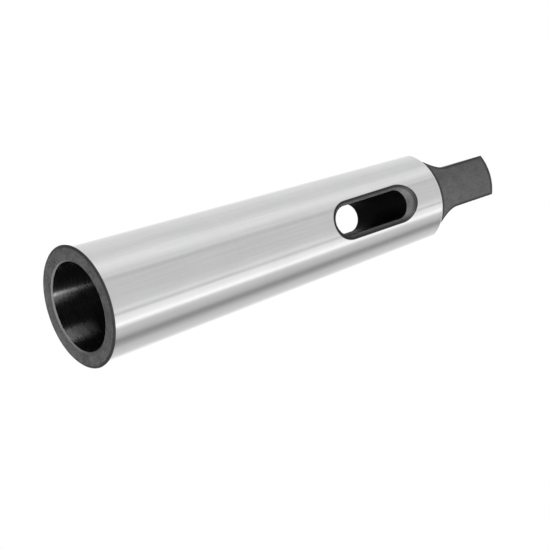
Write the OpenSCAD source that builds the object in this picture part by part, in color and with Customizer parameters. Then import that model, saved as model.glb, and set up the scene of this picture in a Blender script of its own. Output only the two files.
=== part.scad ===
// Morse taper reduction sleeve: a No. 4 shank outside and a No. 3 socket inside, turned,
// hardened and ground from one bar of steel.
// It stands on its mouth face at z = 0, with its axis along Z and its drive tang on top.
// The drift slot runs through along X, and the two flats of the tang face +Y and -Y, so
// the sleeve's own tang lines up with the tool's tang, which the slot's sides drive.

/* [Shank, outer taper No. 4] */
// Diameter of the shank on its gauge plane.
shank_gauge_d = 31.267; // [31.2:0.001:31.4]
// Length along the shank over which its diameter falls by 1 mm.
shank_taper = 19.254; // [19:0.001:20.1]
// How far the mouth stands out in front of the gauge plane.
gauge_to_mouth = 22.5; // [10:0.5:30]
// Length from the mouth face to the end of the tang.
sleeve_len = 140; // [138:1:150]
// Edge break round the outside of the mouth.
mouth_edge = 0.4; // [0.2:0.1:1]
// Length of the bevel that ends the ground taper, at the root of the tang.
shank_bevel = 1; // [0.5:0.1:2]

/* [Drive tang] */
// Length of the tang, from its end to the bevelled end of the shank.
tang_len = 22; // [21:0.5:24]
// Thickness across the flats.
tang_t = 11.9; // [10:0.1:13]
// Diameter of the round edges between the flats.
tang_d = 24.5; // [22:0.1:25]
// Straight length of the flats, from the end of the tang.
flat_len = 16; // [12:0.5:18]
// Radius of the hollow that runs each flat out into the shank.
root_r = 6.5; // [4:0.5:8]
// Radius turned on the end of the tang.
tang_end_r = 2; // [0.5:0.1:4]
// Edge break across the end of each flat.
flat_edge = 0.6; // [0.3:0.1:1.5]
// Width of the centre hole in the end of the tang, across its 60 degree seat.
centre_d = 5.3; // [4:0.1:7]
// Width of the centre hole's pilot.
pilot_d = 2.5; // [1.6:0.1:3.2]

/* [Socket, inner taper No. 3] */
// Diameter of the socket on its gauge plane, which is the mouth face.
socket_gauge_d = 23.825; // [23.7:0.001:23.9]
// Length along the socket over which its diameter falls by 1 mm.
socket_taper = 19.922; // [19:0.001:20.1]
// Diameter of the plain bore behind the taper.
relief_d = 20.2; // [19.8:0.1:20.6]
// Depth of the plain bore, without the drill point.
relief_depth = 84; // [80:1:88]
// Angle of the drill point at the bottom of the bore.
drill_angle = 118; // [90:1:140]
// Edge break round the socket's mouth.
socket_edge = 0.4; // [0.2:0.1:1]

/* [Drift slot] */
// Width of the slot, between the sides that drive the tool's tang.
slot_w = 8.3; // [7.9:0.1:8.5]
// Distance of the slot from the mouth face.
slot_start = 78; // [76:0.5:80]
// Length of the slot over its round ends.
slot_len = 27; // [22:0.5:30]
// Depth of the bevel milled round each opening of the slot, below the shank's surface.
slot_bevel = 2.2; // [1:0.1:2.5]

/* [Hidden] */
$fn = 96;
steel = [0.62, 0.63, 0.65];
// Cutting tools run this far out of the metal.
over = 5;
// Shank radius at a distance z from the mouth.
function shank_r(z) = (shank_gauge_d + (gauge_to_mouth - z) / shank_taper) / 2;
// Socket radius at a distance z from the mouth.
function socket_r(z) = (socket_gauge_d - z / socket_taper) / 2;
// Half of the angle between the two sides of the shank.
shank_half_angle = atan(1 / (2 * shank_taper));
// The bevelled end of the shank. The hollows of the flats run out into its bevel.
shank_end = sleeve_len - tang_len;
// The bore is tapered down to this depth and plain behind it.
relief_start = (socket_gauge_d - relief_d) * socket_taper;
drill_point = relief_d / 2 / tan(drill_angle / 2);
slot_mid = slot_start + slot_len / 2;
// Distance between the centres of the slot's round ends.
slot_span = slot_len - slot_w;
// Depth of the 60 degree seat and of the pilot below the end of the tang.
seat_depth = (centre_d - pilot_d) / 2 / tan(30);
pilot_depth = seat_depth + pilot_d;

// Section of the turned blank, from the axis outwards: the shank with its edge break, the
// bevel behind the taper, and the round tang with its rounded end.
module blank_section() {
    polygon([
        [0, 0],
        [shank_r(0) - mouth_edge, 0],
        [shank_r(mouth_edge), mouth_edge],
        [shank_r(shank_end - shank_bevel), shank_end - shank_bevel],
        [tang_d / 2, shank_end],
        [tang_d / 2, sleeve_len - tang_end_r],
        [tang_d / 2 - tang_end_r, sleeve_len - tang_end_r],
        [tang_d / 2 - tang_end_r, sleeve_len],
        [0, sleeve_len]
    ]);
    translate([tang_d / 2 - tang_end_r, sleeve_len - tang_end_r])
        intersection() {
            circle(r = tang_end_r);
            square(tang_end_r);
        }
}

// Section of the hole that is bored and reamed from the mouth: the countersunk edge, the
// taper, the plain bore and the cone that the drill leaves.
module socket_section() {
    polygon([
        [0, -over],
        [socket_r(0) + socket_edge + over, -over],
        [socket_r(socket_edge), socket_edge],
        [socket_r(relief_start), relief_start],
        [relief_d / 2, relief_depth],
        [0, relief_depth + drill_point]
    ]);
}

// The cutter's path beside one flat, seen along X: a hollow, the straight flat and the edge
// break across its end.
module flat_cut() {
    union() {
        translate([tang_t / 2 + root_r, sleeve_len - flat_len])
            circle(r = root_r);
        polygon([
            [tang_t / 2, sleeve_len - flat_len],
            [tang_t / 2 + root_r * 2, sleeve_len - flat_len],
            [tang_t / 2 + root_r * 2, sleeve_len + over],
            [tang_t / 2 - flat_edge - over, sleeve_len + over],
            [tang_t / 2, sleeve_len - flat_edge]
        ]);
    }
}

// Both flats of the tang.
module tang_flats() {
    for (side = [0, 1])
        mirror([0, side, 0])
            rotate([90, 0, 90])
                translate([0, 0, -tang_d])
                    linear_extrude(tang_d * 2)
                        flat_cut();
}

// A slot with round ends, w wide, that reaches h up from z = 0, with its length along X.
module slot_tool(w, h) {
    for (side = [-1, 1])
        translate([side * slot_span / 2, 0, 0])
            cylinder(d = w, h = h);
    translate([-slot_span / 2, -w / 2, 0])
        cube([slot_span, w, h]);
}

// The 90 degree cutter that bevels the slot's opening, run along the slot's length. Its nose
// is narrower than the slot, and it is as wide as the slot at z = 0.
module bevel_tool(w, h) {
    nose = w / 4;
    for (side = [-1, 1])
        translate([side * slot_span / 2, 0, -nose])
            cylinder(r1 = w / 2 - nose, r2 = w / 2 + h, h = nose + h);
    rotate([90, 0, 90])
        translate([0, 0, -slot_span / 2])
            linear_extrude(slot_span)
                polygon([
                    [nose - w / 2, -nose],
                    [w / 2 - nose, -nose],
                    [w / 2 + h, h],
                    [-w / 2 - h, h]
                ]);
}

// The slot itself, and the bevel on both of its openings. The bevel follows the taper.
module drift_slot() {
    translate([-shank_r(0), 0, slot_mid])
        rotate([0, 90, 0])
            slot_tool(slot_w, 2 * shank_r(0));
    for (side = [0, 1])
        mirror([side, 0, 0])
            translate([shank_r(slot_mid), 0, slot_mid])
                rotate([0, 90 - shank_half_angle, 0])
                    translate([0, 0, -slot_bevel])
                        bevel_tool(slot_w, slot_bevel + over);
}

// The centre hole that the shank is ground on, with its seat's cone run out past the metal.
module centre_hole() {
    translate([0, 0, sleeve_len - seat_depth])
        cylinder(r1 = pilot_d / 2, r2 = centre_d / 2 + tan(30), h = seat_depth + 1);
    translate([0, 0, sleeve_len - pilot_depth])
        cylinder(d = pilot_d, h = pilot_depth);
}

// The whole sleeve.
module sleeve() {
    color(steel)
        difference() {
            rotate_extrude()
                blank_section();
            rotate_extrude()
                socket_section();
            tang_flats();
            drift_slot();
            centre_hole();
        }
}

sleeve();
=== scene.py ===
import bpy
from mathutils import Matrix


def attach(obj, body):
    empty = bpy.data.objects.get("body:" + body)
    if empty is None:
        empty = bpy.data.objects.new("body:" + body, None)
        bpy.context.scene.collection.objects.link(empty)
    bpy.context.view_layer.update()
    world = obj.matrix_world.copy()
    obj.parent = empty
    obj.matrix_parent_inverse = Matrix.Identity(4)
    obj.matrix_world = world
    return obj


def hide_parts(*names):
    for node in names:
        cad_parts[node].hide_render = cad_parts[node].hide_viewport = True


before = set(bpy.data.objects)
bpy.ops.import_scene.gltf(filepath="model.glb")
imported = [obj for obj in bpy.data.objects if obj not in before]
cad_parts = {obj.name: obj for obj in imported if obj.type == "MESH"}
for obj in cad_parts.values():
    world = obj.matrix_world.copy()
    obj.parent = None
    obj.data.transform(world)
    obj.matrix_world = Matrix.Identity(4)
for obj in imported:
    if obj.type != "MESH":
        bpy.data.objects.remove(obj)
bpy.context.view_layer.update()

import math

import bpy
import numpy as np
from mathutils import Matrix, Quaternion, Vector


# The sleeve is one piece of hardened steel. It is turned and bored from bar, its drift slot,
# slot bevels and tang flats are milled, and it is blackened all over. Then the outer taper is
# ground bright, so the black is left on the mouth, in the socket, in the slot and on the tang.
MM = 0.001
GAUGE_DIAMETER = 31.267
GAUGE_FROM_MOUTH = 22.5
SHANK_TAPER = 19.254
SLEEVE_LENGTH = 140.0
MOUTH_EDGE = 0.4
SHANK_END = 118.0
SHANK_BEVEL = 1.0
GROUND_END = SHANK_END - SHANK_BEVEL
TANG_DIAMETER = 24.5
TANG_THICKNESS = 11.9
TANG_END_RADIUS = 2.0
FLAT_LENGTH = 16.0
FLAT_EDGE = 0.6
HOLLOW_RADIUS = 6.5
SEAT_DIAMETER = 5.3
SEAT_ANGLE = 60.0
PILOT_DIAMETER = 2.5
SOCKET_DIAMETER = 23.825
SOCKET_TAPER = 19.922
SOCKET_EDGE = 0.4
PLAIN_BORE_DIAMETER = 20.2
PLAIN_BORE_DEPTH = 84.0
SOCKET_END = (SOCKET_DIAMETER - PLAIN_BORE_DIAMETER) * SOCKET_TAPER
DRILL_ANGLE = 118.0
SLOT_WIDTH = 8.3
SLOT_START = 78.0
SLOT_LENGTH = 27.0
SLOT_BEVEL = 2.2
SLOT_MIDDLE = SLOT_START + SLOT_LENGTH / 2
# Small radii that the lathe tool leaves on the corners.
CORNER_RADIUS = 0.1
MOUTH_RADIUS = 0.15
SHANK_END_RADIUS = 0.8
# The milling tools run this far out of the metal.
RUN_OUT = 5.0
# Faces round the sleeve, a slot cutter and a hollow's cutter, and points on a rounded corner.
LATHE_SIDES = 288
CUTTER_SIDES = 130
HOLLOW_SIDES = 240
CORNER_POINTS = 5


def shank_radius(z):
    """Radius of the ground taper at a height above the mouth."""
    return (GAUGE_DIAMETER + (GAUGE_FROM_MOUTH - z) / SHANK_TAPER) / 2


def socket_radius(z):
    """Radius of the socket's taper at a height above the mouth."""
    return (SOCKET_DIAMETER - z / SOCKET_TAPER) / 2


def along(start, end, radius_at, pitch):
    """Points down a straight wall, about one pitch apart, so that what is cut into it stays true."""
    count = round(abs(end - start) / pitch)
    heights = [start + (end - start) * i / count for i in range(count + 1)]
    return [(radius_at(z), z, 0.0) for z in heights]


def turned_section():
    """The half section that the lathe leaves, from the drill point round the mouth to the centre
    hole: radius, height and the small radius on that corner, in millimetres."""
    fine_pitch, coarse_pitch = 1.5, 3.0
    bore, tang, pilot = PLAIN_BORE_DIAMETER / 2, TANG_DIAMETER / 2, PILOT_DIAMETER / 2
    drill_point = bore / math.tan(math.radians(DRILL_ANGLE / 2))
    seat_depth = (SEAT_DIAMETER - PILOT_DIAMETER) / 2 / math.tan(math.radians(SEAT_ANGLE / 2))
    pilot_bottom = SLEEVE_LENGTH - seat_depth - PILOT_DIAMETER

    points = [(0, PLAIN_BORE_DEPTH + drill_point, 0)]
    points += along(PLAIN_BORE_DEPTH, SOCKET_END, lambda z: bore, fine_pitch)
    points += along(SOCKET_END - fine_pitch, SOCKET_EDGE, socket_radius, coarse_pitch)
    points += [(socket_radius(0) + SOCKET_EDGE, 0, CORNER_RADIUS)]
    points += [(shank_radius(0) - MOUTH_EDGE, 0, MOUTH_RADIUS)]
    points += along(MOUTH_EDGE, GROUND_END, shank_radius, fine_pitch)[:-1]
    points += [(shank_radius(GROUND_END), GROUND_END, SHANK_END_RADIUS), (tang, SHANK_END, CORNER_RADIUS)]
    points += along(SHANK_END + fine_pitch, SLEEVE_LENGTH - TANG_END_RADIUS - fine_pitch,
                    lambda z: tang, fine_pitch)
    points += [(tang, SLEEVE_LENGTH, TANG_END_RADIUS)]
    points += [(SEAT_DIAMETER / 2, SLEEVE_LENGTH, CORNER_RADIUS)]
    points += [(pilot, SLEEVE_LENGTH - seat_depth, 0), (pilot, pilot_bottom, 0), (0, pilot_bottom, 0)]
    return points


def fill(tree, node, inputs):
    """Sets a node's inputs or links them to other nodes. A list's links all go to one input."""
    for name, value in inputs.items():
        for one in value if isinstance(value, list) else [value]:
            if isinstance(one, bpy.types.NodeSocket):
                tree.links.new(one, node.inputs[name])
            else:
                node.inputs[name].default_value = one


def put(tree, kind, inputs=None, **settings):
    """A new node in the tree, with its settings and its inputs."""
    node = tree.nodes.new(kind)
    for name, value in settings.items():
        setattr(node, name, value)
    fill(tree, node, inputs or {})
    return node


def reckon(tree, operation, a, b=0.0):
    """One step of arithmetic on numbers or on other nodes' values."""
    return put(tree, "ShaderNodeMath", {0: a, 1: b}, operation=operation).outputs[0]


def split(tree, place):
    """X, Y and Z of a place."""
    return put(tree, "ShaderNodeSeparateXYZ", {"Vector": place}).outputs


def long_side(tree, a, b):
    """The long side of a right-angled triangle, such as a distance from the axis."""
    sides = put(tree, "ShaderNodeCombineXYZ", {"X": a, "Y": b}).outputs[0]
    return put(tree, "ShaderNodeVectorMath", {0: sides}, operation="LENGTH").outputs["Value"]


def new_tree(name, sockets):
    """An empty geometry tree with its named inputs, and its input node."""
    tree = bpy.data.node_groups.new(name, "GeometryNodeTree")
    for label, kind in sockets:
        tree.interface.new_socket(name=label, in_out="INPUT", socket_type="NodeSocket" + kind)
    tree.interface.new_socket(name="Geometry", in_out="OUTPUT", socket_type="NodeSocketGeometry")
    return tree, tree.nodes.new("NodeGroupInput").outputs


def lathe_tree():
    """Turns a half section, drawn as edges in XZ, round Z into a closed skin."""
    tree, given = new_tree("lathe", [("Section", "Geometry"), ("Sides", "Int")])
    line = put(tree, "GeometryNodeMeshToCurve", {"Mesh": given["Section"]}).outputs[0]
    corner = put(tree, "GeometryNodeInputNamedAttribute", {"Name": "corner_radius"}, data_type="FLOAT")
    line = put(tree, "GeometryNodeFilletCurve", {"Curve": line, "Radius": corner.outputs[0],
               "Count": CORNER_POINTS, "Limit Radius": True}, mode="POLY").outputs[0]
    size = put(tree, "GeometryNodeAttributeDomainSize", {"Geometry": line}, component="CURVE")
    around = reckon(tree, "ADD", given["Sides"], 1)
    grid = put(tree, "GeometryNodeMeshGrid", {"Vertices X": size.outputs["Point Count"],
               "Vertices Y": around}).outputs[0]
    index = tree.nodes.new("GeometryNodeInputIndex").outputs[0]
    step = reckon(tree, "FLOOR", reckon(tree, "DIVIDE", reckon(tree, "ADD", index, 0.5), around))
    turn = reckon(tree, "SUBTRACT", index, reckon(tree, "MULTIPLY", step, around))
    angle = reckon(tree, "MULTIPLY", reckon(tree, "DIVIDE", turn, given["Sides"]), math.tau)
    place = tree.nodes.new("GeometryNodeInputPosition").outputs[0]
    point = put(tree, "GeometryNodeSampleIndex", {"Geometry": line, "Value": place, "Index": step},
                data_type="FLOAT_VECTOR", domain="POINT").outputs[0]
    parts = split(tree, point)
    turned = put(tree, "ShaderNodeCombineXYZ", {
        "X": reckon(tree, "MULTIPLY", parts["X"], reckon(tree, "COSINE", angle)),
        "Y": reckon(tree, "MULTIPLY", parts["X"], reckon(tree, "SINE", angle)), "Z": parts["Z"]}).outputs[0]
    skin = put(tree, "GeometryNodeSetPosition", {"Geometry": grid, "Position": turned}).outputs[0]
    # Points that meet at the seam and on the axis are joined, which closes the skin.
    skin = put(tree, "GeometryNodeMergeByDistance", {"Geometry": skin, "Distance": 0.0005}).outputs[0]
    put(tree, "NodeGroupOutput", {0: skin})
    return tree


def slot_cutter_tree():
    """A cutter run along a straight line: a cone split down its middle and drawn apart."""
    tree, given = new_tree("slot_cutter", [
        ("Near radius", "Float"), ("Far radius", "Float"), ("Depth", "Float"), ("Run", "Float"),
        ("Place", "Vector"), ("Turn", "Rotation")])
    cone = put(tree, "GeometryNodeMeshCone", {"Vertices": CUTTER_SIDES, "Depth": given["Depth"],
               "Radius Top": given["Far radius"], "Radius Bottom": given["Near radius"]},
               fill_type="NGON").outputs[0]
    x = split(tree, tree.nodes.new("GeometryNodeInputPosition").outputs[0])["X"]
    half_run = reckon(tree, "MULTIPLY", reckon(tree, "SIGN", x), reckon(tree, "DIVIDE", given["Run"], 2.0))
    drawn = put(tree, "ShaderNodeCombineXYZ", {"X": half_run}).outputs[0]
    tool = put(tree, "GeometryNodeSetPosition", {"Geometry": cone, "Offset": drawn}).outputs[0]
    tool = put(tree, "GeometryNodeTransform", {"Geometry": tool, "Translation": given["Place"],
               "Rotation": given["Turn"]}).outputs[0]
    put(tree, "NodeGroupOutput", {0: tool})
    return tree


def slot_tools(tree, given):
    """The cutter that mills the slot right through along X, and the two that bevel its openings
    along the taper."""
    cutter = slot_cutter_tree()
    half_width = reckon(tree, "DIVIDE", given["Slot width"], 2.0)
    run = reckon(tree, "SUBTRACT", given["Slot length"], given["Slot width"])
    through = 2 * shank_radius(0)
    place = put(tree, "ShaderNodeCombineXYZ", {"X": -through / 2, "Z": given["Slot middle"]}).outputs[0]
    slot = put(tree, "GeometryNodeGroup", node_tree=cutter)
    fill(tree, slot, {"Near radius": half_width, "Far radius": half_width, "Run": run, "Place": place,
         "Depth": through, "Turn": (0, math.pi / 2, 0)})
    tools = [slot.outputs[0]]

    lean = math.atan(1 / (2 * SHANK_TAPER))
    nose = reckon(tree, "DIVIDE", given["Slot width"], 4.0)
    below = reckon(tree, "ADD", given["Bevel depth"], nose)
    height = reckon(tree, "ADD", below, RUN_OUT)
    near = reckon(tree, "SUBTRACT", half_width, nose)
    far = reckon(tree, "ADD", near, height)
    for side in (1, -1):
        x = reckon(tree, "SUBTRACT", shank_radius(SLOT_MIDDLE),
                   reckon(tree, "MULTIPLY", below, math.cos(lean)))
        x = reckon(tree, "MULTIPLY", x, side)
        z = reckon(tree, "SUBTRACT", given["Slot middle"], reckon(tree, "MULTIPLY", below, math.sin(lean)))
        place = put(tree, "ShaderNodeCombineXYZ", {"X": x, "Z": z}).outputs[0]
        bevel = put(tree, "GeometryNodeGroup", node_tree=cutter)
        fill(tree, bevel, {"Near radius": near, "Far radius": far, "Depth": height, "Run": run,
             "Place": place, "Turn": (0, side * (math.pi / 2 - lean), 0)})
        tools.append(bevel.outputs[0])
    return tools


def tang_tools(tree, given):
    """The cutters of both flats: the hollow at the root, the straight flat and its end's edge break."""
    tools = []
    half_tang = reckon(tree, "DIVIDE", given["Tang thickness"], 2.0)
    away = reckon(tree, "ADD", half_tang, given["Hollow radius"])
    width = reckon(tree, "MULTIPLY", given["Hollow radius"], 2.0)
    flat_start, flat_height = SLEEVE_LENGTH - FLAT_LENGTH, FLAT_LENGTH + RUN_OUT
    corner_out = RUN_OUT * math.sqrt(0.5)
    edge_height = SLEEVE_LENGTH - FLAT_EDGE / 2 + corner_out
    for side in (1, -1):
        y = reckon(tree, "MULTIPLY", away, side)
        place = put(tree, "ShaderNodeCombineXYZ", {"Y": y, "Z": flat_start}).outputs[0]
        hollow = put(tree, "GeometryNodeMeshCylinder", {"Vertices": HOLLOW_SIDES,
                     "Radius": given["Hollow radius"], "Depth": 2 * TANG_DIAMETER},
                     fill_type="NGON").outputs[0]
        hollow = put(tree, "GeometryNodeTransform", {"Geometry": hollow, "Translation": place,
                     "Rotation": (0, math.pi / 2, 0)})

        size = put(tree, "ShaderNodeCombineXYZ", {"X": 2 * TANG_DIAMETER, "Y": width, "Z": flat_height})
        place = put(tree, "ShaderNodeCombineXYZ", {"Y": y, "Z": flat_start + flat_height / 2}).outputs[0]
        flat = put(tree, "GeometryNodeMeshCube", {"Size": size.outputs[0]}).outputs[0]
        flat = put(tree, "GeometryNodeTransform", {"Geometry": flat, "Translation": place})

        y = reckon(tree, "MULTIPLY", reckon(tree, "ADD", half_tang, corner_out - FLAT_EDGE / 2), side)
        place = put(tree, "ShaderNodeCombineXYZ", {"Y": y, "Z": edge_height}).outputs[0]
        edge = put(tree, "GeometryNodeMeshCube", {"Size": (2 * TANG_DIAMETER, 2 * RUN_OUT, 2 * RUN_OUT)})
        edge = put(tree, "GeometryNodeTransform", {"Geometry": edge.outputs[0], "Translation": place,
                   "Rotation": (math.pi / 4, 0, 0)})
        tools += [hollow.outputs[0], flat.outputs[0], edge.outputs[0]]
    return tools


def finished_faces(tree, solid, bright, black, inner, reamed):
    """Black all over, then the bore and the slot, the socket, and last the ground taper and its
    end bevel, each where a face's middle lies."""
    parts = split(tree, tree.nodes.new("GeometryNodeInputPosition").outputs[0])
    radius = long_side(tree, parts["X"], parts["Y"])

    def between(start, end):
        """1 between two heights."""
        return reckon(tree, "MULTIPLY", reckon(tree, "GREATER_THAN", parts["Z"], start),
                      reckon(tree, "LESS_THAN", parts["Z"], end))

    def on_cone(at_mouth, taper, slack):
        """1 near the wall of a cone with that radius at the mouth."""
        wall = reckon(tree, "SUBTRACT", at_mouth, reckon(tree, "DIVIDE", parts["Z"], 2 * taper))
        gap = reckon(tree, "ABSOLUTE", reckon(tree, "SUBTRACT", radius, wall))
        return reckon(tree, "LESS_THAN", gap, slack)

    # The bore and the slot's walls lie inside a cone that clears the socket's mouth and passes
    # just inside the slot's bevels.
    narrowing = reckon(tree, "MULTIPLY", parts["Z"], 0.006)
    inside = reckon(tree, "LESS_THAN", reckon(tree, "ADD", radius, narrowing), socket_radius(0) + 0.3)
    inside = reckon(tree, "MULTIPLY", inside, between(SOCKET_EDGE, SLOT_START + SLOT_LENGTH + SLOT_BEVEL))
    socket = reckon(tree, "MULTIPLY", on_cone(socket_radius(0), SOCKET_TAPER, 0.3),
                    between(SOCKET_EDGE, SOCKET_END))
    taper = reckon(tree, "MULTIPLY", on_cone(shank_radius(0), SHANK_TAPER, 0.03),
                   between(MOUTH_EDGE * 0.6, GROUND_END))
    bevel_radius = (shank_radius(SHANK_END - SHANK_BEVEL / 2) + TANG_DIAMETER / 2) / 2
    from_bevel = reckon(tree, "ABSOLUTE", reckon(tree, "SUBTRACT", radius, bevel_radius))
    end_bevel = reckon(tree, "MULTIPLY", reckon(tree, "LESS_THAN", from_bevel, 0.8),
                       between(GROUND_END - 0.6, SHANK_END - 0.1))

    finished = put(tree, "GeometryNodeRealizeInstances", {"Geometry": solid}).outputs[0]
    for material, where in ((black, True), (inner, inside), (reamed, socket),
                            (bright, reckon(tree, "MAXIMUM", taper, end_bevel))):
        finished = put(tree, "GeometryNodeSetMaterial", {"Geometry": finished, "Selection": where,
                       "Material": material}).outputs[0]
    return finished


def machining_tree(bright, black, inner, reamed):
    """Turns the blank, mills the slot, its bevels and the tang's flats, and finishes each surface."""
    tree, given = new_tree("sleeve_machining", [
        ("Section", "Geometry"), ("Sides", "Int"), ("Slot width", "Float"), ("Slot length", "Float"),
        ("Slot middle", "Float"), ("Bevel depth", "Float"), ("Tang thickness", "Float"),
        ("Hollow radius", "Float")])
    blank = put(tree, "GeometryNodeGroup", node_tree=lathe_tree())
    fill(tree, blank, {"Section": given["Section"], "Sides": given["Sides"]})
    tools = slot_tools(tree, given) + tang_tools(tree, given)
    solid = put(tree, "GeometryNodeMeshBoolean", {"Mesh 1": blank.outputs[0], "Mesh 2": tools},
                operation="DIFFERENCE", solver="EXACT").outputs[0]
    # The cuts leave some points closer together than a hair, which are joined.
    solid = put(tree, "GeometryNodeMergeByDistance", {"Geometry": solid, "Distance": 0.002}).outputs[0]
    solid = put(tree, "GeometryNodeSetShadeSmooth", {"Geometry": solid}).outputs[0]
    put(tree, "NodeGroupOutput", {0: finished_faces(tree, solid, bright, black, inner, reamed)})
    return tree


def new_material(name):
    """A material with its shader, and its pattern's coordinates in the piece's own frame."""
    material = bpy.data.materials.new(name)
    material.use_nodes = True
    tree = material.node_tree
    coordinates = tree.nodes.new("ShaderNodeTexCoord").outputs["Object"]
    return material, tree, tree.nodes["Principled BSDF"], coordinates


def blend_colours(tree, share, low, high):
    """A colour from low to high as the share goes from 0 to 1."""
    return put(tree, "ShaderNodeMix", {"Factor": share, "A": (*low, 1), "B": (*high, 1)},
               data_type="RGBA").outputs["Result"]


def cover(tree, under, share, over):
    """The colour under, covered with another as far as the share goes."""
    return put(tree, "ShaderNodeMix", {"Factor": share, "A": under, "B": (*over, 1)},
               data_type="RGBA").outputs["Result"]


def remap(tree, value, low, high, from_low=0.3, from_high=0.7):
    """From low to high as the value goes from from_low to from_high, and no further."""
    return put(tree, "ShaderNodeMapRange", {"Value": value, "From Min": from_low, "From Max": from_high,
               "To Min": low, "To Max": high}).outputs["Result"]


def grain(tree, coordinates, pitch, detail=2.0):
    """Noise with the given pitch along X, Y and Z, in millimetres, moved off the planes through 0
    where noise is flat."""
    off_plane = (0.37, 0.37, 0.37)
    scaled = put(tree, "ShaderNodeVectorMath", {0: coordinates, 1: tuple(1 / (p * MM) for p in pitch),
                 2: off_plane}, operation="MULTIPLY_ADD").outputs[0]
    noise = put(tree, "ShaderNodeTexNoise", {"Vector": scaled, "Scale": 1.0, "Detail": detail})
    return noise.outputs["Fac"]


def layered(tree, *patterns):
    """Patterns added up, each with its share."""
    total = 0.0
    for pattern, share in patterns:
        total = reckon(tree, "ADD", total, reckon(tree, "MULTIPLY", pattern, share))
    return total


def relief(tree, pattern, strength, depth):
    """A pattern as fine bumps, with their depth in millimetres."""
    return put(tree, "ShaderNodeBump", {"Height": pattern, "Strength": strength,
               "Distance": depth * MM}).outputs[0]


def marks_round_z(tree):
    """The direction of the marks that grinding and reaming leave, round the sleeve's axis."""
    return put(tree, "ShaderNodeTangent", direction_type="RADIAL", axis="Z").outputs[0]


def in_millimetres(tree, coordinates):
    """X, Y and Z of the pattern's coordinates, in millimetres."""
    return split(tree, put(tree, "ShaderNodeVectorMath", {0: coordinates, "Scale": 1 / MM},
                 operation="SCALE").outputs[0])


def slot_rim_painted_shade(tree, coordinates):
    """1 on a thin rim round the slot's bevels, where a dark line of painted shade is laid, 0 elsewhere."""
    black_width, faded_width = 0.2, 0.5
    parts = in_millimetres(tree, coordinates)
    z = reckon(tree, "SUBTRACT", parts["Z"], SLOT_MIDDLE)
    past_end = reckon(tree, "SUBTRACT", reckon(tree, "ABSOLUTE", z), (SLOT_LENGTH - SLOT_WIDTH) / 2)
    from_middle = long_side(tree, parts["Y"], reckon(tree, "MAXIMUM", past_end, 0.0))
    surface = reckon(tree, "ADD", reckon(tree, "ABSOLUTE", parts["X"]),
                     reckon(tree, "DIVIDE", z, 2 * SHANK_TAPER))
    past_bevel = reckon(tree, "SUBTRACT", from_middle, surface)
    bevel = SLOT_WIDTH / 2 + SLOT_BEVEL - shank_radius(SLOT_MIDDLE)
    return remap(tree, past_bevel, 1, 0, bevel + black_width, bevel + faded_width)


def ground_steel():
    """Hardened steel, ground round the taper: fine rings stretch what it mirrors along its length.
    Seating and drifting have left faint rub marks along it."""
    material, tree, shader, coordinates = new_material("ground_steel")
    rings = grain(tree, coordinates, (40, 40, 0.12), 3)
    rubs = grain(tree, coordinates, (0.7, 0.7, 60), 2)
    cloud = grain(tree, coordinates, (9, 9, 14))
    uneven = layered(tree, (rings, 0.35), (rubs, 0.4), (cloud, 0.25))
    ground = blend_colours(tree, remap(tree, uneven, 0, 1), (0.585, 0.585, 0.59), (0.66, 0.66, 0.665))
    # Painted shade: a dark line is laid round the slot's bevels in the base colour.
    fill(tree, shader, {
        "Base Color": cover(tree, ground, slot_rim_painted_shade(tree, coordinates), (0.02, 0.02, 0.02)),
        "Roughness": remap(tree, rings, 0.13, 0.17), "Metallic": 1.0,
        "Anisotropic": 0.75, "Anisotropic Rotation": 0.25, "Tangent": marks_round_z(tree),
        "Normal": relief(tree, rings, 0.05, 0.02)})
    return material


def painted_edge_shade(tree, coordinates):
    """1 along the edges of the blackened faces, and 0 from about 1 mm inside them, where the colour is
    darkened as painted shade: the rims next to the ground taper, the tang's end and root, and both sides of
    its round edges."""
    parts = in_millimetres(tree, coordinates)
    z = parts["Z"]
    radius = long_side(tree, parts["X"], parts["Y"])
    from_taper = reckon(tree, "ADD", radius, reckon(tree, "DIVIDE", z, 2 * SHANK_TAPER))
    rim = remap(tree, from_taper, 0, 1, shank_radius(0) - 0.9, shank_radius(0) - 0.4)
    rim = reckon(tree, "MULTIPLY", rim, reckon(tree, "LESS_THAN", z, SHANK_END))
    end = remap(tree, z, 0, 1, SLEEVE_LENGTH - 2.4, SLEEVE_LENGTH - 1.6)
    root = reckon(tree, "MULTIPLY", remap(tree, z, 1, 0, SHANK_END + 0.2, SHANK_END + 0.9),
                  reckon(tree, "GREATER_THAN", z, GROUND_END))
    dip = reckon(tree, "MAXIMUM", reckon(tree, "SUBTRACT", SLEEVE_LENGTH - FLAT_LENGTH, z), 0.0)
    hollow = reckon(tree, "SUBTRACT", HOLLOW_RADIUS ** 2, reckon(tree, "MULTIPLY", dip, dip))
    flat = reckon(tree, "SUBTRACT", TANG_THICKNESS / 2 + HOLLOW_RADIUS, reckon(tree, "SQRT", hollow))
    past_flat = reckon(tree, "SUBTRACT", reckon(tree, "ABSOLUTE", parts["Y"]), flat)
    flank = reckon(tree, "MULTIPLY", remap(tree, past_flat, 0, 1, -0.9, -0.3),
                   reckon(tree, "GREATER_THAN", z, SHANK_END))
    return reckon(tree, "MAXIMUM", reckon(tree, "MAXIMUM", rim, end), reckon(tree, "MAXIMUM", root, flank))


def socket_edge_painted_highlight(tree, coordinates):
    """1 on the countersunk edge of the socket, which is made paler as a painted highlight."""
    parts = in_millimetres(tree, coordinates)
    within = reckon(tree, "LESS_THAN", long_side(tree, parts["X"], parts["Y"]),
                    socket_radius(0) + SOCKET_EDGE - 0.03)
    return reckon(tree, "MULTIPLY", within, reckon(tree, "LESS_THAN", parts["Z"], SOCKET_EDGE + 0.1))


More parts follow.
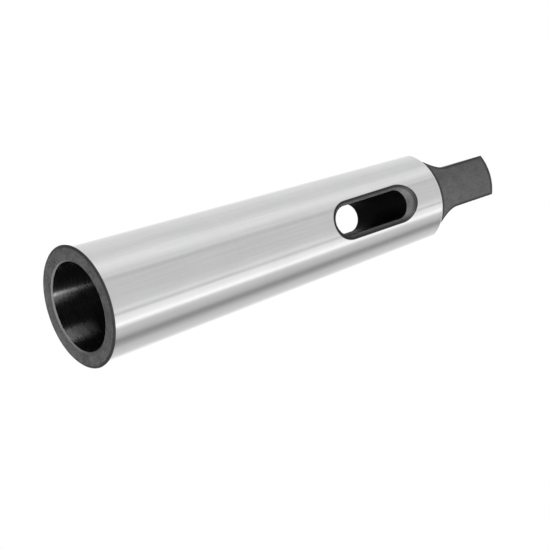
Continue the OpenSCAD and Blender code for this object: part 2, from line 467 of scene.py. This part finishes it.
def black_finish():
    """The black left by heat treatment and oiling: satin, finely grained and coarser on the turned mouth
    face. Painted shade darkens it along its edges, and a painted highlight makes it paler on the edge of
    the socket."""
    material, tree, shader, coordinates = new_material("blackened_steel")
    cloud = grain(tree, coordinates, (3, 3, 3), 3)
    fine = grain(tree, coordinates, (0.5, 0.5, 0.5), 3)
    uneven = reckon(tree, "SUBTRACT", layered(tree, (cloud, 0.4), (fine, 0.6)), 0.5)
    coarser = remap(tree, in_millimetres(tree, coordinates)["Z"], 2.0, 1.0, 0.5, 1.0)
    uneven = reckon(tree, "MULTIPLY", uneven, coarser)
    face = blend_colours(tree, remap(tree, uneven, 0, 1, -0.2, 0.2), (0.066, 0.066, 0.067),
                         (0.134, 0.134, 0.135))
    # Painted shade: the colour is darkened along the edges of the black faces.
    face = cover(tree, face, painted_edge_shade(tree, coordinates), (0.028, 0.028, 0.028))
    # Painted highlight: the socket's countersunk edge is made paler.
    fill(tree, shader, {
        "Base Color": cover(tree, face, socket_edge_painted_highlight(tree, coordinates), (0.17, 0.17, 0.17)),
        "Roughness": remap(tree, fine, 0.46, 0.6), "Specular IOR Level": 0.2,
        "Normal": relief(tree, fine, 0.25, 0.03)})
    return material


def inner_black_painted_shade():
    """The same black where no grinding or reaming has touched it: the drilled bore behind the socket, its
    drill point and the milled walls of the slot. Its colour is darkened to near black as painted shade.
    Dull, with coarse tool marks."""
    material, tree, shader, coordinates = new_material("blackened_inside_painted_shade")
    marks = grain(tree, coordinates, (1.2, 1.2, 0.6), 3)
    # Painted shade: the bore and the slot's walls are near black, far darker than the outer black.
    fill(tree, shader, {
        "Base Color": blend_colours(tree, remap(tree, marks, 0, 1), (0.001, 0.001, 0.001),
                                    (0.003, 0.003, 0.003)),
        "Roughness": remap(tree, marks, 0.55, 0.7), "Specular IOR Level": 0.03,
        "Normal": relief(tree, marks, 0.3, 0.04)})
    return material


def reamed_black_painted_shade():
    """The blackened wall of the socket, its colour darkened to near black as painted shade: the reamer's
    fine marks run round it, so a lamp's glint is drawn out along it."""
    material, tree, shader, coordinates = new_material("blackened_socket_painted_shade")
    marks = grain(tree, coordinates, (6, 6, 0.35), 2)
    # Painted shade: the socket's wall is near black, far darker than the outer black.
    fill(tree, shader, {
        "Base Color": blend_colours(tree, remap(tree, marks, 0, 1), (0.002, 0.002, 0.002),
                                    (0.004, 0.004, 0.004)),
        "Roughness": remap(tree, marks, 0.26, 0.31), "IOR": 2.0,
        "Anisotropic": 1.0, "Anisotropic Rotation": 0.25, "Tangent": marks_round_z(tree)})
    return material


def true_normals(mesh):
    """Keeps every machined edge sharp, and gives the tapers the exact normals of a cone and the
    turned end faces those of a plane."""
    sharp_angle, level = 20, 0.9999
    mesh.set_sharp_from_angle(angle=math.radians(sharp_angle))
    normals = np.zeros(len(mesh.loops) * 3, np.float32)
    mesh.corner_normals.foreach_get("vector", normals)
    normals = normals.reshape(-1, 3)
    places = np.zeros(len(mesh.vertices) * 3, np.float32)
    mesh.vertices.foreach_get("co", places)
    x, y, z = places.reshape(-1, 3).T.astype(float) / MM
    radius = np.maximum(np.hypot(x, y), 1e-6)
    off_wall, off_end = 0.006, 0.02
    for radius_at, taper, outwards, start, end in (
            (shank_radius, SHANK_TAPER, 1, MOUTH_EDGE, GROUND_END - 0.3),
            (socket_radius, SOCKET_TAPER, -1, SOCKET_EDGE, SOCKET_END)):
        on_wall = (abs(radius - radius_at(z)) < off_wall) & (z > start - off_end) & (z < end + off_end)
        slope = 0.5 / taper
        exact = np.stack([x / radius, y / radius, np.full_like(x, slope)], 1)
        exact *= outwards / math.hypot(1, slope)
        for face in mesh.polygons:
            if all(on_wall[v] for v in face.vertices):
                for loop in face.loop_indices:
                    normals[loop] = exact[mesh.loops[loop].vertex_index]
    for face in mesh.polygons:
        if abs(face.normal.z) > level:
            for loop in face.loop_indices:
                normals[loop] = (0, 0, math.copysign(1, face.normal.z))
    mesh.normals_split_custom_set(normals.tolist())


def make_sleeve():
    """Draws the turned section, machines it and keeps the result as a plain mesh in metres."""
    points = turned_section()
    outline = bpy.data.meshes.new("turned_section")
    outline.from_pydata([(r, 0, z) for r, z, _ in points], [(i, i + 1) for i in range(len(points) - 1)], [])
    corner = outline.attributes.new("corner_radius", "FLOAT", "POINT")
    corner.data.foreach_set("value", [c for _, _, c in points])
    blank = bpy.data.objects.new("sleeve_blank", outline)
    bpy.context.scene.collection.objects.link(blank)

    tree = machining_tree(ground_steel(), black_finish(), inner_black_painted_shade(), reamed_black_painted_shade())
    modifier = blank.modifiers.new("machining", "NODES")
    modifier.node_group = tree
    sizes = {"Sides": LATHE_SIDES, "Slot width": SLOT_WIDTH, "Slot length": SLOT_LENGTH,
             "Slot middle": SLOT_MIDDLE, "Bevel depth": SLOT_BEVEL, "Tang thickness": TANG_THICKNESS,
             "Hollow radius": HOLLOW_RADIUS}
    for item in tree.interface.items_tree:
        if item.name in sizes:
            modifier[item.identifier] = sizes[item.name]
    made = bpy.data.meshes.new_from_object(blank.evaluated_get(bpy.context.evaluated_depsgraph_get()))
    bpy.data.objects.remove(blank)

    made.name = "taper_sleeve"
    if made.materials[0] is None:
        made.materials.pop(index=0)
    made.transform(Matrix.Scale(MM, 4))
    true_normals(made)
    piece = bpy.data.objects.new("taper_sleeve", made)
    bpy.context.scene.collection.objects.link(piece)
    return piece


sleeve = make_sleeve()
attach(sleeve, "root")
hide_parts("sleeve")


# The floor is pale card that is seen only from above, because the photograph looks at the mouth
# from below it. It has a hole under the sleeve's foot, so that it doesn't lie on the mouth's face.
ROUND_SIDES = 96
FOOT_RADIUS = (shank_radius(0) - MOUTH_EDGE + 0.05) * MM
FLOOR_RADIUS = 6.0
FLOOR_PALE_TO, FLOOR_WHITE_FROM = 0.1, 0.6
FLOOR_GLOW = 0.25


def circle(radius, z):
    """Points of a level circle round Z."""
    turns = [math.tau * i / ROUND_SIDES for i in range(ROUND_SIDES)]
    return [(radius * math.cos(a), radius * math.sin(a), z) for a in turns]


def stage_piece(name, vertices, faces, material):
    """A piece of the studio, which isn't part of the sleeve."""
    mesh = bpy.data.meshes.new(name)
    mesh.from_pydata(vertices, [], faces)
    mesh.materials.append(material)
    piece = bpy.data.objects.new(name, mesh)
    bpy.context.scene.collection.objects.link(piece)
    return piece


def floor_material():
    """Pale and matt near the sleeve, running out into the white background further away."""
    material, tree, shader, coordinates = new_material("studio_floor")
    fill(tree, shader, {"Base Color": (0.8, 0.8, 0.8, 1), "Roughness": 0.9, "Specular IOR Level": 0.0})
    white = put(tree, "ShaderNodeEmission", {"Strength": 1.0})
    clear = tree.nodes.new("ShaderNodeBsdfTransparent")
    distance = put(tree, "ShaderNodeVectorMath", {0: coordinates}, operation="LENGTH").outputs["Value"]
    away = put(tree, "ShaderNodeMapRange", {"Value": distance, "From Min": FLOOR_PALE_TO,
               "From Max": FLOOR_WHITE_FROM, "To Min": FLOOR_GLOW, "To Max": 1.0},
               interpolation_type="SMOOTHSTEP")
    top = put(tree, "ShaderNodeMixShader", {0: away.outputs[0], 1: shader.outputs[0], 2: white.outputs[0]})
    from_below = tree.nodes.new("ShaderNodeNewGeometry").outputs["Backfacing"]
    both = put(tree, "ShaderNodeMixShader", {0: from_below, 1: top.outputs[0], 2: clear.outputs[0]})
    tree.links.new(both.outputs[0], tree.nodes["Material Output"].inputs["Surface"])
    return material


floor = stage_piece("studio_floor", circle(FOOT_RADIUS, 0) + circle(FLOOR_RADIUS, 0),
                    [(i, ROUND_SIDES + i, ROUND_SIDES + (i + 1) % ROUND_SIDES, (i + 1) % ROUND_SIDES)
                     for i in range(ROUND_SIDES)], floor_material())
floor.visible_shadow = False
floor.visible_glossy = False
floor.visible_diffuse = False


# The panels are a ring of white and grey cloths round the sleeve, a white one above and a grey
# one underneath. They are seen only in what the bright steel mirrors.
# Each tone is given by its direction round Z, in degrees from +X, and blends into the next. The tones were
# set over many renders, until the brightness measured across the ground steel agreed with the photograph's.
PANELS = [
    # the white wall behind, which the upper rim mirrors in the photograph, and pale panels beside it
    (-180, 1.5), (-142, 1.5), (-132, 1.05), (-115, 1.02), (-90, 0.91), (-80, 0.93),
    (-66, 1.085), (-58, 1.125), (-50, 1.06), (-45, 0.945), (-38, 0.945),
    # a gap, then the plain grey front
    (-35, 0.78), (-31, 0.75), (-27, 0.84), (2, 0.84), (14, 0.88), (22, 0.95), (28, 1.12),
    # a thin stand, and the bright window beside it
    (30, 0.92), (33, 0.76), (35, 0.93), (37, 1.18), (40, 1.22), (44, 1.22), (54, 1.62), (57, 1.2),
    # the grey wall, darkest in its middle
    (59, 0.91), (62, 0.845), (73, 0.755), (77, 0.67), (82, 0.5), (86, 0.39), (91, 0.43), (97, 0.57),
    (103, 0.74), (110, 0.82), (126, 0.93),
    # the white wall again, which the lower rim mirrors
    (132, 1.06), (138, 1.35), (145, 1.5), (180, 1.5)]
RING_RADIUS, RING_REACH = 1.6, 3.2
# The cloths have these tones from the second height up, and softer ones up to the first.
RING_SOFT_TO, RING_FULL_FROM = 0.3, 0.9
OVERHEAD_TONE, UNDERNEATH_TONE = 1.0, 0.7


def panel_material():
    """Cloth lit from behind, as bright as the tone at each place."""
    material, tree, _, _ = new_material("studio_panels")
    tone = put(tree, "ShaderNodeAttribute", attribute_name="tone").outputs["Fac"]
    glow = put(tree, "ShaderNodeEmission", {"Strength": tone}).outputs[0]
    tree.links.new(glow, tree.nodes["Material Output"].inputs["Surface"])
    return material


def mirrored_only(name, vertices, faces, material, tones=None):
    """A stage piece that is seen only in what the steel mirrors, with its tone at each vertex."""
    piece = stage_piece(name, vertices, faces, material)
    if tones is not None:
        piece.data.attributes.new("tone", "FLOAT", "POINT").data.foreach_set("value", tones)
    piece.visible_camera = False
    piece.visible_diffuse = False
    piece.visible_shadow = False
    return piece


def panel_ring(material):
    """The ring, with a column of four points at each degree."""
    degrees = list(range(-180, 181))
    rows = (-RING_REACH, RING_SOFT_TO, RING_FULL_FROM, RING_REACH)
    tones = np.interp(degrees, [a for a, _ in PANELS], [t for _, t in PANELS])
    softer = 0.15 + 0.6 * tones
    angles = [math.radians(a) for a in degrees]
    corners = [(RING_RADIUS * math.cos(a), RING_RADIUS * math.sin(a), z) for a in angles for z in rows]
    faces = [(4 * i + j, 4 * i + 4 + j, 4 * i + 5 + j, 4 * i + 1 + j)
             for i in range(len(degrees) - 1) for j in range(3)]
    down_each = np.stack([softer, softer, tones, tones], 1).ravel()
    mirrored_only("studio_panels", corners, faces, material, down_each)


cloth = panel_material()
panel_ring(cloth)
for name, z, tone in (("studio_overhead", RING_REACH, OVERHEAD_TONE),
                      ("studio_underneath", -RING_REACH, UNDERNEATH_TONE)):
    mirrored_only(name, circle(RING_RADIUS, z), [list(range(ROUND_SIDES))], cloth, [tone] * ROUND_SIDES)


# A black card just under the mouth, which only mirrored light meets: the socket looks out at the
# dark, so its black wall shows nothing but the lamps' glint.
CARD_RADIUS, CARD_HEIGHT = 17 * MM, -1 * MM
card_black, tree, shader, _ = new_material("studio_card")
fill(tree, shader, {"Base Color": (0.005, 0.005, 0.005, 1), "Specular IOR Level": 0.0})
mirrored_only("studio_card", circle(CARD_RADIUS, CARD_HEIGHT), [list(range(ROUND_SIDES))], card_black)


# The background is plain white to the camera and in what the steel mirrors, and gives the
# matt black faces only a little light.
WORLD_ON_MATT, WORLD_SHOWN = 0.15, 1.0
world = bpy.data.worlds.new("white_studio")
bpy.context.scene.world = world
world.use_nodes = True
tree = world.node_tree
path = tree.nodes.new("ShaderNodeLightPath").outputs
mirrored = reckon(tree, "MAXIMUM", path["Is Glossy Ray"], path["Is Transmission Ray"])
shown = reckon(tree, "MAXIMUM", path["Is Camera Ray"], mirrored)
fill(tree, tree.nodes["Background"], {
    "Color": (1, 1, 1, 1), "Strength": remap(tree, shown, WORLD_ON_MATT, WORLD_SHOWN, 0, 1)})


# The lamps are plain soft boxes. Two light the matt faces, one from below in front and one from
# above behind. The other three only glint in the steel, above all in the socket's black wall.
LAMP_AIM = Vector((0, 0, 0.05))


def studio_lamp(name, azimuth, elevation, distance, width, height, power, mirrored):
    """An area lamp aimed at the sleeve from a direction in degrees, distances in metres. It shows
    in what is mirrored, or else lights the matt faces."""
    light = bpy.data.lights.new(name, "AREA")
    light.shape = "RECTANGLE"
    light.size, light.size_y = width, height
    light.energy = power
    lamp = bpy.data.objects.new(name, light)
    across, up = math.radians(azimuth), math.radians(elevation)
    way = Vector((math.cos(across) * math.cos(up), math.sin(across) * math.cos(up), math.sin(up)))
    lamp.location = LAMP_AIM + distance * way
    lamp.rotation_mode = "QUATERNION"
    lamp.rotation_quaternion = way.to_track_quat("Z", "Y")
    lamp.visible_camera = False
    lamp.visible_glossy = mirrored
    lamp.visible_diffuse = not mirrored
    bpy.context.scene.collection.objects.link(lamp)


studio_lamp("main_lamp", azimuth=22, elevation=-40, distance=1.3,
            width=0.6, height=0.6, power=21.5, mirrored=False)
studio_lamp("strip_lamp", azimuth=44.5, elevation=-19, distance=1.3,
            width=0.04, height=0.8, power=12.6, mirrored=True)
studio_lamp("low_lamp", azimuth=35.5, elevation=-12, distance=1.3,
            width=0.47, height=0.43, power=12, mirrored=True)
studio_lamp("side_lamp", azimuth=-62, elevation=-14, distance=1.3,
            width=0.8, height=0.6, power=27, mirrored=True)
studio_lamp("top_lamp", azimuth=150, elevation=50, distance=1.5,
            width=0.4, height=0.4, power=26, mirrored=False)


# The camera looks up the sleeve from beside its mouth, turned so that the sleeve lies along
# the picture, as in the photograph.
CAMERA_PLACE = Vector((0.359543, -0.011685, -0.199848))
CAMERA_AIM = Vector((0.000468, 0.008376, 0.061362))
CAMERA_ROLL = 71.0959
CAMERA_LENS = 106.267
camera = bpy.data.objects.new("camera", bpy.data.cameras.new("camera"))
camera.data.lens = CAMERA_LENS
camera.data.clip_start = 0.01
camera.data.clip_end = 50
camera.location = CAMERA_PLACE
camera.rotation_mode = "QUATERNION"
roll = Quaternion((0, 0, 1), math.radians(CAMERA_ROLL))
camera.rotation_quaternion = (CAMERA_AIM - CAMERA_PLACE).to_track_quat("-Z", "Y") @ roll
bpy.context.scene.collection.objects.link(camera)
bpy.context.scene.camera = camera
bpy.context.scene.view_settings.view_transform = "Standard"
